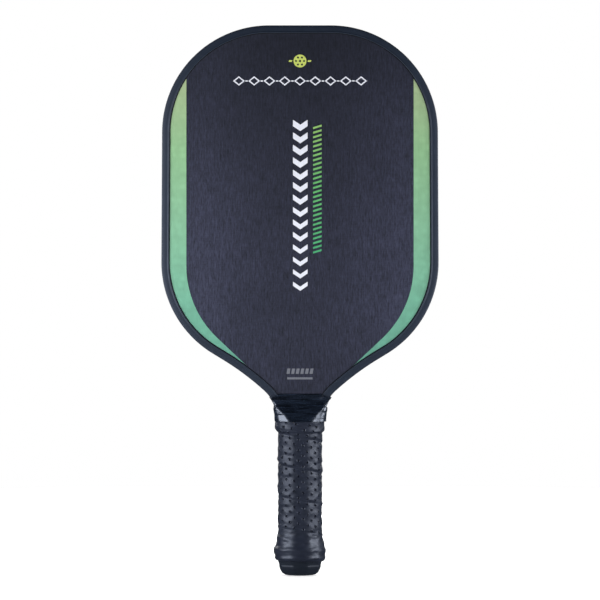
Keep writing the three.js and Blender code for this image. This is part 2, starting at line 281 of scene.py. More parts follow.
def tape_vinyl():
    """Glossy vinyl, stretched into flat streaks that run round the throat, its colour painted
    lighter and darker along them as painted highlights and shade of the creases.
    """
    finish = Finish("tape_vinyl", 0.24, Specular_IOR_Level=0.6, Specular_Tint=COOL)
    crease_streaks_and_painted_shade = finish.grain((14, 14, 0.9), 2.0)
    # The colour runs from 0.3 to 1.7 times along the streaks: painted highlights and painted shade
    # of the creases.
    finish.link(finish.tint(TAPE_COLOR, finish.spread(crease_streaks_and_painted_shade, *PATCH_RANGE), 0.3, 1.7),
                "Base Color")
    finish.link(finish.spread(crease_streaks_and_painted_shade, *NOISE_RANGE, *TAPE_ROUGHNESS), "Roughness")
    finish.bump(crease_streaks_and_painted_shade, 0.25, 0.6)
    return finish.material


def cap_plastic():
    """Smooth moulded plastic, a little cloudy."""
    finish = Finish("cap_plastic", 0.4, Specular_IOR_Level=0.3, Specular_Tint=COOL)
    patches = finish.grain((4, 4, 4), 3.0)
    finish.link(finish.tint(CAP_COLOR, patches, 0.85, 1.15), "Base Color")
    finish.link(finish.spread(patches, *NOISE_RANGE, *CAP_ROUGHNESS), "Roughness")
    finish.bump(finish.grain((0.25, 0.25, 0.25)), 0.02, 0.4)
    return finish.material


def speckled(name, color, contrast, size, roughness, **constants):
    """A plain finish for the pieces inside: a colour with grain, and bumps of the same grain."""
    finish = Finish(name, roughness, **constants)
    value = finish.grain(size, 3.0)
    finish.link(finish.tint(color, finish.spread(value, *NOISE_RANGE), 1 - contrast, 1 + contrast),
                "Base Color")
    finish.bump(value, 0.05, 0.5)
    return finish.material


# ---------------------------------------------------------------- meshes

def make_piece(name, points, faces, materials, face_materials=None, smooth=True):
    """A piece of the paddle from points in millimetres. Its faces are turned to look outwards."""
    points = np.asarray(points, float)
    corners = [(face[0], face[i], face[i + 1]) for face in faces for i in range(1, len(face) - 1)]
    a, b, c = (points[[corner[i] for corner in corners]] for i in range(3))
    if np.einsum("ij,ij->", a, np.cross(b, c)) < 0:
        faces = [tuple(reversed(face)) for face in faces]
    mesh = bpy.data.meshes.new(name)
    mesh.from_pydata((points * MM + (0, 0, BUTT_END)).tolist(), [], faces)
    for material in materials:
        mesh.materials.append(material)
    if face_materials is not None:
        mesh.polygons.foreach_set("material_index", face_materials)
    mesh.polygons.foreach_set("use_smooth", [smooth] * len(faces))
    mesh.update()
    piece = bpy.data.objects.new(name, mesh)
    bpy.context.scene.collection.objects.link(piece)
    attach(piece, "root")
    return piece


def loft_faces(rings, size, closed):
    """Faces between rings of equal size. A closed loft joins its last ring to its first."""
    faces = []
    for ring in range(rings if closed else rings - 1):
        low, high = ring * size, (ring + 1) % rings * size
        for i in range(size):
            j = (i + 1) % size
            faces.append((low + i, low + j, high + j, high + i))
    return faces


def smoothstep(value, low, high):
    share = np.clip((value - low) / (high - low), 0, 1)
    return share * share * (3 - 2 * share)


def profile(rows, column, heights, blur):
    """A column of a profile at some heights, with its corners blurred over a length."""
    table = np.array(rows, float)
    taps = np.linspace(-blur, blur, 9)
    weights = np.cos(taps / blur * math.pi / 2) ** 2 + 1e-9
    samples = [np.interp(heights + tap, table[:, 0], table[:, column]) for tap in taps]
    return np.tensordot(weights / weights.sum(), samples, 1)


# ---------------------------------------------------------------- the head's outline

# Clockwise from the top centre: straights, and turns in degrees at a radius, as the CAD has them.
CORNER_RADIUS = 77.8
THROAT_RADIUS = 29
HEAD_LEGS = [(22.5, None), (CORNER_RADIUS, 89.7), (94.4, None), (CORNER_RADIUS, 58.9), (8.9, None),
             (197, -10.9), (THROAT_RADIUS, -28)]
TURN_STEP = 1.5
STRAIGHT_STEP = 6.0


def walk(legs, height):
    """Rows of x, height and heading, in radians clockwise from +X."""
    rows = [(0.0, height, 0.0)]
    for size, turn in legs:
        x, z, heading = rows[-1]
        if turn is None:
            count = math.ceil(size / STRAIGHT_STEP)
            for i in range(1, count + 1):
                reach = size * i / count
                rows.append((x + reach * math.cos(heading), z - reach * math.sin(heading), heading))
            continue
        side = math.copysign(1, turn)
        count = math.ceil(abs(turn) / TURN_STEP)
        for i in range(1, count + 1):
            there = heading + math.radians(turn) * i / count
            rows.append((x + side * size * (math.sin(there) - math.sin(heading)),
                         z + side * size * (math.cos(there) - math.cos(heading)), there))
    return np.array(rows)


OUTLINE = walk(HEAD_LEGS, PADDLE_LENGTH)


def inset_outline(inset):
    """The right half of the outline, moved inwards: rows of x and height."""
    x, z, heading = OUTLINE.T
    return np.stack([x - inset * np.sin(heading), z - inset * np.cos(heading)], axis=1)


# ---------------------------------------------------------------- edge guard

# The section: insets from the outline and depths from the paddle's middle plane.
GUARD_LIP = 6.0
GUARD_FLAT = 5.3
GUARD_ROUNDING = 1.1
GUARD_SHOULDER = 0.9
RIDGE_INSET = 5.4
GAP_DEPTH = 0.12
ROOT_INSET = 1.25
CLEARANCE = 0.01

# The lip and its ridge: insets, and how far they are below the guard's face.
LIP_DROPS = [(GUARD_ROUNDING, 0.86), (2.0, 0.66), (3.0, 0.5), (3.9, 0.42), (4.35, 0.36), (4.7, 0.1),
             (4.92, 0), (5.12, 0.01), (5.32, 0.12), (RIDGE_INSET, 0.28)]


def guard_section():
    """Half of the guard's section, as inset and depth, from its outer middle to its inner middle.
    A flat back, a rounded corner, a lip that rises inwards, a ridge along the inner edge, and a low
    foot beside the face, coloured near-black as painted shadow. Rows end with 1 for the foot and 0
    for the guard."""
    shoulder = GUARD_FACE - GUARD_SHOULDER
    rounding = [(GUARD_ROUNDING * (1 - math.cos(a)),
                 GUARD_FLAT + (shoulder - GUARD_FLAT) * math.sin(a), 0)
                for a in np.linspace(0, math.pi / 2, 11)[1:-1]]
    lip = [(inset, GUARD_FACE - drop, 0) for inset, drop in LIP_DROPS]
    # The low foot, coloured near-black as painted shadow.
    shadow_gap_rows = [(RIDGE_INSET + 0.1, FILM_FACE + GAP_DEPTH, 1),
            (GUARD_LIP - 0.1, FILM_FACE + GAP_DEPTH, 1), (GUARD_LIP, FILM_FACE + CLEARANCE, 1)]
    root = (ROOT_INSET, FILM_FACE + CLEARANCE, 0)
    return [(0, 0, 0), (0, 2.7, 0), (0, GUARD_FLAT, 0), *rounding, *lip, *shadow_gap_rows, root]


def make_guard():
    half = guard_section()
    section = half + [(inset, -depth, kind) for inset, depth, kind in reversed(half[1:])]
    x, z, heading = OUTLINE.T
    right = np.stack([np.stack([x - inset * np.sin(heading), np.full_like(x, depth),
                                z - inset * np.cos(heading)], axis=1)
                      for inset, depth, _ in section], axis=1)
    left = right[:0:-1] * (-1, 1, 1)
    rings = np.concatenate([left, right])
    count, size = rings.shape[:2]
    faces = loft_faces(count, size, False)
    kinds = [section[i][2] and section[(i + 1) % size][2] for i in range(size)] * (count - 1)
    ends = [tuple(reversed(range(size))), tuple(range((count - 1) * size, count * size))]
    piece = make_piece("edge_guard_channel", rings.reshape(-1, 3), faces + ends,
                       [guard_plastic(), painted_shadow_gap()], kinds + [0, 0])
    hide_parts("edge_guard")


# ---------------------------------------------------------------- prints on the faces

# Prints stand above the film by a height and are rooted a little way inside it.
PRINT_HEIGHT = 0.06
PRINT_ROOT = 0.03
SIDES = (("front", -1), ("back", 1))


def make_print(name, shapes, material):
    """Raised prints on both faces. A shape is an outline and its holes, as lists of x and height.
    On the back they are turned round the paddle's axis, so they look the same from there."""
    for word, side in SIDES:
        points, faces = [], []
        for loops in shapes:
            flat = [point for loop in loops for point in loop]
            start, size = len(points), len(flat)
            for depth in (FILM_FACE + PRINT_HEIGHT, FILM_FACE - PRINT_ROOT):
                points += [(-side * x, side * depth, z) for x, z in flat]
            fill = tessellate_polygon([[Vector((x, z, 0)) for x, z in loop] for loop in loops])
            a, b, c = (Vector(flat[i]) for i in fill[0])
            turned = (b - a).cross(c - a) < 0
            for face in fill:
                top = face[::-1] if turned else face
                faces.append(tuple(start + i for i in top))
                faces.append(tuple(start + size + i for i in reversed(top)))
            first = start
            for loop in loops:
                area = sum(p[0] * q[1] - q[0] * p[1] for p, q in zip(loop, loop[1:] + loop[:1]))
                forwards = (area > 0) == (loop is loops[0])
                for i in range(len(loop)):
                    low, high = first + i, first + (i + 1) % len(loop)
                    if not forwards:
                        low, high = high, low
                    faces.append((high, low, low + size, high + size))
                first += len(loop)
        make_piece(f"{word}_{name}", points, faces, [material], smooth=False)


def polygon(x, z, width, height, corners):
    """A regular outline of a number of corners, stretched to a width and a height."""
    angles = [math.tau * i / corners for i in range(corners)]
    return [(x + width / 2 * math.cos(a), z + height / 2 * math.sin(a)) for a in angles]


def slanted(x, z, width, height, lean):
    """A bar from its lower left corner, whose right side stands higher by its lean."""
    return [(x, z), (x + width, z + lean), (x + width, z + height + lean), (x, z + height)]


def leaning(x, z, width, height, lean=0.0):
    """A bar from its lower left corner, whose top stands further right by its lean."""
    return [(x, z), (x + width, z), (x + width + lean, z + height), (x + lean, z + height)]


BAND_INNER = 82.6
BAND_MARGIN = 6.25
BAND_TURN_START = 225.0
BAND_RADIUS = 72.0
BAND_TURN = 47.0
BAND_TIP = (38.4, 152.2)


def band_shapes():
    """The green bands: outside they follow the guard, inside they drop straight, curve in under the
    face's middle and run straight on to a point."""
    edge = inset_outline(BAND_MARGIN)
    crossing = np.where(edge[:, 0] > BAND_INNER)[0][0]
    before, after = edge[crossing - 1], edge[crossing]
    share = (BAND_INNER - before[0]) / (after[0] - before[0])
    top = before + (after - before) * share
    outer = [tuple(top)] + [tuple(p) for p in edge[crossing:] if p[1] > BAND_TIP[1] + 0.5]
    angles = np.radians(np.linspace(0, BAND_TURN, 25))
    centre = BAND_INNER - BAND_RADIUS
    arc = [(centre + BAND_RADIUS * math.cos(a), BAND_TURN_START - BAND_RADIUS * math.sin(a))
           for a in angles]
    right = outer + list(reversed(arc + [BAND_TIP]))
    left = [(-x, z) for x, z in reversed(right)]
    return [[right], [left]]


BALL_MIDDLE = 374.0
BALL_WIDTH = 9.4
BALL_HOLE = 1.5
BALL_HOLES_AT = 2.9
DASH = (2.4, 1.2, 0.4)
DASH_AT = 5.5

ROW_MIDDLE = 359.5
ROW_HEIGHT = 6.8
ROW_WIDTH = 8.6
ROW_PITCH = 11.1
ROW_REACH = 4
ROW_STROKE = 0.85
ROW_DASH = 1.8

CHEVRON_COUNT = 14
CHEVRON_LOW = 207.0
CHEVRON_HIGH = 332.0
CHEVRON_LEFT = -5.1
CHEVRON_RIGHT = 5.5
CHEVRON_DROP = 3.6
CHEVRON_THICKNESS = (3.0, 4.6)

STRIPE_LOW = 234.0
STRIPE_HIGH = 331.0
STRIPE_PITCH = 3.35
STRIPE_LEFT = 9.5
STRIPE_SIZE = (6.2, 1.45, 1.9)

SMALL_BARS = 6
SMALL_PITCH = 3.35
SMALL_LEFT = -9.8
SMALL_LOW = 146.6
SMALL_SIZE = (2.2, 3.9, 0.7)
LONG_BAR = (-9.3, 142.6, 18.4, 1.5)


def ball_shapes():
    """A disc with holes, like the game's ball, between two short dashes."""
    z = BALL_MIDDLE
    width, height, lean = DASH
    holes = [polygon(0, z, BALL_HOLE + 0.2, BALL_HOLE + 0.2, 14)]
    for i in range(6):
        a = math.tau * i / 6
        x = BALL_HOLES_AT * math.cos(a)
        holes.append(polygon(x, z + BALL_HOLES_AT * math.sin(a), BALL_HOLE, BALL_HOLE, 14))
    return [[polygon(0, z, BALL_WIDTH, BALL_WIDTH, 40)] + holes,
            [leaning(-DASH_AT - width - lean, z - height / 2, width, height, lean)],
            [leaning(DASH_AT, z - height / 2, width, height, lean)]]


def row_shapes():
    """A chain of thin hollow diamonds, with a short dash between each two."""
    shapes = []
    hole = 1 - 2.6 * ROW_STROKE / ROW_HEIGHT
    for i in range(-ROW_REACH, ROW_REACH + 1):
        x = i * ROW_PITCH
        shapes.append([polygon(x, ROW_MIDDLE, ROW_WIDTH, ROW_HEIGHT, 4),
                       polygon(x, ROW_MIDDLE, ROW_WIDTH * hole, ROW_HEIGHT * hole, 4)])
    for i in range(-ROW_REACH, ROW_REACH):
        x = (i + 0.5) * ROW_PITCH - ROW_DASH / 2
        shapes.append([leaning(x, ROW_MIDDLE - ROW_STROKE / 2, ROW_DASH, ROW_STROKE)])
    return shapes


def chevron_shapes():
    """The long upright run of solid chevrons down the middle, thinner towards the handle."""
    shapes = []
    left, right, drop = CHEVRON_LEFT, CHEVRON_RIGHT, CHEVRON_DROP
    middle = (left + right) / 2
    pitch = (CHEVRON_HIGH - CHEVRON_LOW) / CHEVRON_COUNT
    for i, thick in enumerate(np.linspace(*CHEVRON_THICKNESS, CHEVRON_COUNT)):
        z = CHEVRON_LOW + drop + pitch * i
        shapes.append([[(left, z), (middle, z - drop), (right, z), (right, z + thick),
                        (middle, z + thick - drop), (left, z + thick)]])
    return shapes


def stripe_shapes():
    """The run of thin slanted stripes beside the chevrons."""
    count = int((STRIPE_HIGH - STRIPE_LOW) / STRIPE_PITCH)
    return [[slanted(STRIPE_LEFT, STRIPE_LOW + STRIPE_PITCH * i, *STRIPE_SIZE)]
            for i in range(count)]


def small_shapes():
    """Faint short bars near the throat, over one long one."""
    bars = [[leaning(SMALL_LEFT + SMALL_PITCH * i, SMALL_LOW, *SMALL_SIZE)]
            for i in range(SMALL_BARS)]
    return bars + [[leaning(*LONG_BAR)]]


# ---------------------------------------------------------------- the handle's octagon

# A quarter has a side flat, a bevel and a front flat, with a rounded corner at either end of the
# bevel. The corners get rounder as the handle gets thicker than its pallets.
BEVEL_TILT = math.radians(33)
BEVEL_SETBACK = 1.4
GRIP_HALF_WIDTH = 16.1
GRIP_HALF_THICKNESS = 14.35
HANDLE_CORNER = 4.9
PALLET_HALF_THICKNESS = 12.25
SMALLEST_CORNER = 3.0


class Octagon:
    """Points round the handle, at equal steps along a ring of the size given, starting at its left
    side and running over the front. The sizes of rings are arrays, with one value for each ring."""

    def __init__(self, columns, half_width=GRIP_HALF_WIDTH, half_thickness=GRIP_HALF_THICKNESS,
                 corner=HANDLE_CORNER, smallest=SMALLEST_CORNER):
        self.corner, self.smallest = corner, smallest
        self.around = np.arange(columns) / columns
        radius = self.corner_radius(np.array(half_thickness))
        lengths = self.lengths(half_width, half_thickness, radius)
        marks = np.concatenate([[0], np.cumsum(lengths)])
        self.girth = 4 * marks[-1]
        quarter = self.around * 4
        turned = np.floor(quarter).astype(int)
        share = quarter - turned
        self.along = np.where(turned % 2 == 0, share, 1 - share) * marks[-1]
        self.part = np.clip(np.searchsorted(marks, self.along, "right") - 1, 0, 4)
        self.share = (self.along - marks[self.part]) / lengths[self.part]
        self.x_sign = np.where((turned == 1) | (turned == 2), 1, -1)
        self.y_sign = np.where(turned < 2, -1, 1)

    def corner_radius(self, half_thickness):
        return np.maximum(self.corner + half_thickness - PALLET_HALF_THICKNESS, self.smallest)

    @staticmethod
    def centres(half_width, half_thickness, radius):
        """The centres of a quarter's two rounded corners: the side one's y and the front one's x."""
        width, depth = half_width - radius, half_thickness - radius
        across, along = math.sin(BEVEL_TILT), math.cos(BEVEL_TILT)
        bevel = np.minimum(width - BEVEL_SETBACK, width * across + depth * along - 0.15)
        return (bevel - width * across) / along, (bevel - depth * along) / across

    def lengths(self, half_width, half_thickness, radius):
        side_y, front_x = self.centres(half_width, half_thickness, radius)
        turn = math.pi / 2 - BEVEL_TILT
        bevel = math.hypot(half_width - radius - front_x, half_thickness - radius - side_y)
        return np.array([side_y, radius * turn, bevel, radius * BEVEL_TILT, front_x], float)

    def rings(self, half_width, half_thickness):
        """x, y and the outward directions, each with a row for each ring."""
        radius = self.corner_radius(half_thickness)
        side_y, front_x = self.centres(half_width, half_thickness, radius)
        width, depth = half_width - radius, half_thickness - radius
        turn = math.pi / 2 - BEVEL_TILT
        shape = (len(half_width), len(self.around))
        x, y, angle = np.zeros(shape), np.zeros(shape), np.zeros(shape)
        for i, (part, t) in enumerate(zip(self.part, self.share)):
            if part == 0:
                x[:, i], y[:, i], angle[:, i] = width, side_y * t, 0
            elif part == 1:
                x[:, i], y[:, i], angle[:, i] = width, side_y, turn * t
            elif part == 2:
                x[:, i], y[:, i] = width + (front_x - width) * t, side_y + (depth - side_y) * t
                angle[:, i] = turn
            elif part == 3:
                x[:, i], y[:, i], angle[:, i] = front_x, depth, turn + BEVEL_TILT * t
            else:
                x[:, i], y[:, i], angle[:, i] = front_x * (1 - t), depth, math.pi / 2
        out_x, out_y = np.cos(angle) * self.x_sign, np.sin(angle) * self.y_sign
        around = radius[:, None]
        return x * self.x_sign + around * out_x, y * self.y_sign + around * out_y, out_x, out_y


def waves(around, heights, seed, count, reach, length):
    """Smooth unevenness from -1 to 1 over the handle: a sum of slanted waves with up to reach
    cycles round it and wavelengths down to length."""
    random = np.random.default_rng(seed)
    total = np.zeros(np.broadcast(around, heights).shape)
    for _ in range(count):
        cycles = random.integers(1, reach + 1) * random.choice([-1, 1])
        wave = length * random.uniform(1, 3)
        total += np.sin(math.tau * (cycles * around + heights / wave) + random.uniform(0, math.tau))
    return total / count


# ---------------------------------------------------------------- grip

# Heights with the half width and half thickness there.
GRIP_PROFILE = [(11, 17.2, 15.4), (12.5, 17.9, 16.2), (16.7, 18.45, 16.8), (21, 17.9, 16.2),
                (25.4, 16.7, 15.05), (31, 15.95, 14.2), (103.6, 15.95, 14.2), (103.9, 15.95, 14.2),
                (104.6, 17.3, 15.15), (108.1, 17.75, 15.3), (112.0, 17.95, 15.0)]
GRIP_BLUR = 0.9
GRIP_CORNER = 10.6
GRIP_COLUMNS = 300
GRIP_ROW = 0.36
GRIP_WALL = 1.5
GRIP_INNER_ROWS = 30
GRIP_OVERHANG = 0.5
GRIP_SWING = 0.3
GRIP_ROUND_HEIGHT = 1.0
GRIP_ROUND_DEPTH = 0.7
GRIP_MAP = "around_and_up"

# The strip is wound as a helix: its rise in one turn, where its lower edge starts at the handle's
# left side, and how far the winding lags behind an even one, in turns.
WINDING_PITCH = 22.8
WINDING_START = 36.8
WINDING_SLACK = 0.05

# Near its lower edge each turn stands over the turn below, and it sinks back above that. A groove
# runs along its upper edge.
LAP_EDGE = 2.2
LAP_FADE = 4.6
LAP_HEIGHT = 0.8
GROOVE_WIDTH = 1.6
GROOVE_DEPTH = 0.22

# Rows of holes along the strip, with raised rims.
HOLE_ROWS = 6
HOLE_ROW_FIRST = 1.9
HOLE_ROW_GAP = 3.85
HOLE_GAP = 6.6
HOLE_RADIUS = 0.54
HOLE_DEPTH = 0.7
RIM_RADIUS = 0.82
RIM_WIDTH = 0.22
RIM_HEIGHT = 0.14

# Soft folds below the holes, where the strip is stretched over the butt: height, lean from the
# middle to FOLD_REACH at the right, half length, and how far each stands out. The stretched strip
# is smoother, which fades out over the heights in STRETCHED.
FOLDS = [(25.9, -1.9, 2.0, 0.75), (18.9, -0.4, 1.7, 0.65), (12.9, 0.1, 1.5, 0.55)]
FOLD_REACH = 16.0
STRETCHED = (26.0, 34.0)

# Waves over the strip: how high they are, and what waves() takes for them.
DENT_HEIGHT = 0.8
DENTS = (3, 16, 3, 5.2)
CREASE_HEIGHT = 0.4
CREASES = (8, 28, 12, 3.0)

OCTAGON = Octagon(GRIP_COLUMNS, corner=GRIP_CORNER)


def winding(around, heights):
    """Which turn of the strip a point is on, counted from 0, and how far it is above that turn's
    lower edge. Points below the first turn have a negative one."""
    wound = around - WINDING_SLACK * (1 - np.cos(math.tau * around))
    turns = (heights - WINDING_START) / WINDING_PITCH + wound
    return np.floor(turns), (turns - np.floor(turns)) * WINDING_PITCH


def hole_distance(around, turn, above):
    """How far a point is from the middle of the nearest hole in the strip."""
    row = np.clip(np.round((above - HOLE_ROW_FIRST) / HOLE_ROW_GAP), 0, HOLE_ROWS - 1)
    across = above - HOLE_ROW_FIRST - row * HOLE_ROW_GAP
    along = (turn + around) * OCTAGON.girth + (row % 2) * HOLE_GAP / 2
    along -= np.round(along / HOLE_GAP) * HOLE_GAP
    return np.hypot(across, along)


def grip_relief(around, heights, x):
    """How far the wound strip stands above the handle's plain shape."""
    turn, above = winding(around, heights)
    perforated = turn >= 0
    lap = smoothstep(above, 0, LAP_EDGE) * np.exp(-above / LAP_FADE)
    groove = np.exp(-((above - WINDING_PITCH) / GROOVE_WIDTH) ** 2)
    relief = np.where(perforated, lap * LAP_HEIGHT - groove * GROOVE_DEPTH, 0.0)
    distance = hole_distance(around, turn, above)
    holes = HOLE_DEPTH * np.exp(-(distance / HOLE_RADIUS) ** 4)
    rims = RIM_HEIGHT * np.exp(-((distance - RIM_RADIUS) / RIM_WIDTH) ** 2)
    relief -= np.where(perforated, holes - rims, 0.0)
    for height, lean, half, depth in FOLDS:
        place = heights - height - lean * x / FOLD_REACH
        relief += depth * np.exp(-(place / half) ** 2)
    relief += DENT_HEIGHT * waves(around, heights, *DENTS)
    relief += CREASE_HEIGHT * waves(around, heights, *CREASES)
    return relief


GRIP_COLOR = srgb(27, 31, 43)
# Painted shade in the grip's holes.
HOLE_PAINTED_SHADE = srgb(14, 16, 22)
GRIP_ROUGHNESS = (0.41, 0.51)
RIM_POLISH = 0.3
STRETCH_POLISH = 0.07
PORE_SHARE = 0.14
CREASE_SHARE = 0.14


def grip_felt():
    """Coated felt with a fine grain, glossier on the rims of its holes, with painted shade that
    darkens the holes. The pattern of holes is the geometry's own, worked out again from the piece's
    map, which runs round the handle and up it."""
    finish = Finish("grip_cushion", 0.45, Specular_IOR_Level=0.38, Specular_Tint=COOL)
    spot = finish.node("ShaderNodeSeparateXYZ", {0: finish.node("ShaderNodeUVMap",
                       uv_map=GRIP_MAP).outputs["UV"]})
    around = spot.outputs["X"]
    height = finish.math("MULTIPLY", spot.outputs["Y"], GRIP_TOP)
    swing = finish.math("COSINE", finish.math("MULTIPLY", around, math.tau))
    slack = finish.math("MULTIPLY", finish.math("SUBTRACT", 1.0, swing), WINDING_SLACK)
    wound = finish.math("SUBTRACT", around, slack)
    climbed = finish.math("DIVIDE", finish.math("SUBTRACT", height, WINDING_START), WINDING_PITCH)
    turns = finish.math("ADD", climbed, wound)
    turn = finish.math("FLOOR", turns)
    above = finish.math("MULTIPLY", finish.math("SUBTRACT", turns, turn), WINDING_PITCH)
    row = finish.math("ROUND", finish.math(
        "DIVIDE", finish.math("SUBTRACT", above, HOLE_ROW_FIRST), HOLE_ROW_GAP))
    row = finish.math("MINIMUM", finish.math("MAXIMUM", row, 0.0), HOLE_ROWS - 1.0)
    across = finish.math("SUBTRACT", finish.math("SUBTRACT", above, HOLE_ROW_FIRST),
                         finish.math("MULTIPLY", row, HOLE_ROW_GAP))
    offset = finish.math("MULTIPLY", finish.math("MODULO", row, 2.0), HOLE_GAP / 2)
    length = finish.math("MULTIPLY", finish.math("ADD", turn, around), OCTAGON.girth)
    along = finish.math("ADD", length, offset)
    nearest = finish.math("MULTIPLY", finish.math(
        "ROUND", finish.math("DIVIDE", along, HOLE_GAP)), HOLE_GAP)
    along = finish.math("SUBTRACT", along, nearest)
    squares = finish.math("ADD", finish.math("MULTIPLY", across, across),
                          finish.math("MULTIPLY", along, along))
    distance = finish.math("SQRT", squares)
    # The holes' colour is painted shade: a near-black disc in each hole.
    hole = finish.spread(distance, HOLE_RADIUS * 0.8, HOLE_RADIUS * 1.2, 1.0, 0.0)
    perforated = finish.math("GREATER_THAN", turns, 0.0)
    hole = finish.math("MULTIPLY", hole, perforated)
    patches = finish.spread(finish.grain((6, 6, 4), 3.0), *NOISE_RANGE)
    felt = finish.tint(GRIP_COLOR, patches, 0.8, 1.2)
    finish.link(finish.mix(hole, felt, HOLE_PAINTED_SHADE), "Base Color")
    pores = finish.grain((0.3, 0.3, 0.3), 3.0, 0.6)
    creases = finish.grain((5, 5, 0.6), 2.0)
    relief = finish.math("ADD", finish.math("MULTIPLY", pores, PORE_SHARE),
                         finish.math("MULTIPLY", creases, CREASE_SHARE))
    off_rim = finish.math("DIVIDE", finish.math("SUBTRACT", distance, RIM_RADIUS), RIM_WIDTH)
    rim = finish.math("EXPONENT", finish.math("MULTIPLY", finish.math("POWER", off_rim, 2.0), -1.0))
    rim = finish.math("MULTIPLY", rim, perforated)
    relief = finish.math("ADD", relief, rim)
    matt = finish.spread(patches, 0.0, 1.0, *GRIP_ROUGHNESS)
    stretched = finish.spread(height, *STRETCHED, STRETCH_POLISH, 0.0)
    smooth = finish.math("ADD", finish.math("MULTIPLY", rim, RIM_POLISH), stretched)
    finish.link(finish.math("SUBTRACT", matt, smooth), "Roughness")
    finish.bump(relief, 0.22, 0.8)
    return finish.material


def map_round_and_up(piece, heights, size):
    """Gives the grip its map: 0 to 1 round the handle, and the height as a share of the grip's top.
    Each ring has size points, and heights has a value for each point."""
    corners = np.zeros(len(piece.data.loops), int)
    piece.data.loops.foreach_get("vertex_index", corners)
    columns = (corners % size).reshape(-1, 4)
    share = columns / size
    last = (columns.max(axis=1) == size - 1) & (columns.min(axis=1) == 0)
    share[last] = np.where(columns[last] == 0, 1.0, share[last])
    spots = np.stack([share.reshape(-1), heights[corners] / GRIP_TOP], axis=1)
    layer = piece.data.uv_layers.new(name=GRIP_MAP)
    layer.data.foreach_set("uv", spots.reshape(-1))


def make_grip():
    """One surface for the wound strip, closed over its two ends by a wall inside."""
    count = math.ceil((GRIP_TOP - GRIP_BOTTOM) / GRIP_ROW)
    around = OCTAGON.around[None, :]
    level = np.linspace(0, 1, count + 1)[:, None]
    edge = GRIP_BOTTOM + GRIP_SWING * np.cos(math.tau * around) - GRIP_OVERHANG
    heights = edge + (GRIP_TOP - edge) * level
    plain = np.linspace(GRIP_BOTTOM, GRIP_TOP, count + 1)
    wide, thick = (profile(GRIP_PROFILE, column, plain, GRIP_BLUR) for column in (1, 2))
    x, y, out_x, out_y = OCTAGON.rings(wide, thick)
    relief = grip_relief(around, heights, x)
    below = np.clip(1 - (heights - edge) / GRIP_ROUND_HEIGHT, 0, 1)
    relief -= GRIP_ROUND_DEPTH * (1 - np.sqrt(1 - below ** 2))
    outer = np.stack([x + out_x * relief, y + out_y * relief, heights], axis=2)
    inner = np.stack([x - out_x * GRIP_WALL, y - out_y * GRIP_WALL, heights], axis=2)
    kept = np.linspace(count, 0, GRIP_INNER_ROWS).round().astype(int)
    rings = np.concatenate([outer, inner[kept]])
    total, size = rings.shape[:2]
    piece = make_piece("grip_strip", rings.reshape(-1, 3),
                       loft_faces(total, size, True), [grip_felt()])
    map_round_and_up(piece, rings[:, :, 2].reshape(-1), size)
    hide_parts("grip_wrap")


# ---------------------------------------------------------------- finishing tape

TAPE_BOTTOM = 112.0
TAPE_TOP = 132.2
TAPE_THICKNESS = 0.35
TAPE_ROWS = 90
TAPE_COLUMNS = 240
TAPE_OCTAGON = {"half_width": 18.2, "half_thickness": 13.0, "corner": 6.0, "smallest": 1.6}

# The top edge: its height at the sides, and where it starts and stops dropping to there.
TAPE_TOP_SIDES = 129.6
TAPE_DROP = (15.3, 22.0)

# Heights with the half width there, below the guard, and heights with the half thickness.
TAPE_WIDTHS = [(111, 18.05), (112.5, 18.1), (116.9, 18.3), (121.2, 19.0), (123, 19.05)]
TAPE_FRONT = [(111, 15.1), (112.5, 14.95), (117, 13.0), (121, 10.9), (122.6, 9.8), (124.5, 8.3),
              (126.5, 7.3), (128.5, 6.85), (130, 6.75), (133, 6.7)]
TAPE_BLUR = 1.0

# The relief: a lap over the lower part, a thinner one near the top edge, creases, and a bulge at
# the right side of the front.
TAPE_LAP = 123.2
TAPE_LAP_SWING = 0.5
TAPE_LAP_HEIGHT = 0.4
SECOND_LAP = (127.6, 131.9)
SECOND_LAP_HEIGHT = 0.25
SECOND_LAP_EDGE = 0.3
TAPE_CREASE_HEIGHT = 0.3
TAPE_CREASES = (5, 20, 5, 2.6)
TAPE_BULGE = 0.7
TAPE_BULGE_PLACE = 0.44
TAPE_BULGE_SPREAD = 0.035


def outline_width(heights):
    """The half width of the head at some heights near the throat."""
    throat = OUTLINE[len(OUTLINE) // 2:]
    throat = throat[np.argsort(throat[:, 1])]
    return np.interp(heights, throat[:, 1], throat[:, 0])


def tape_relief(around, heights):
    """How far the tape stands above its plain shape: its two laps, its creases and its bulge."""
    lap_edge = TAPE_LAP + TAPE_LAP_SWING * np.cos(math.tau * around)
    lap = TAPE_LAP_HEIGHT * (1 - smoothstep(heights, lap_edge - 0.2, lap_edge + 0.25))
    low, high = SECOND_LAP
    second = SECOND_LAP_HEIGHT * smoothstep(heights, low, low + SECOND_LAP_EDGE)
    second *= 1 - smoothstep(heights, high, high + SECOND_LAP_EDGE)
    creases = TAPE_CREASE_HEIGHT * waves(around, heights, *TAPE_CREASES)
    bulge = TAPE_BULGE * np.exp(-((around - TAPE_BULGE_PLACE) / TAPE_BULGE_SPREAD) ** 2)
    return lap + second + creases + bulge


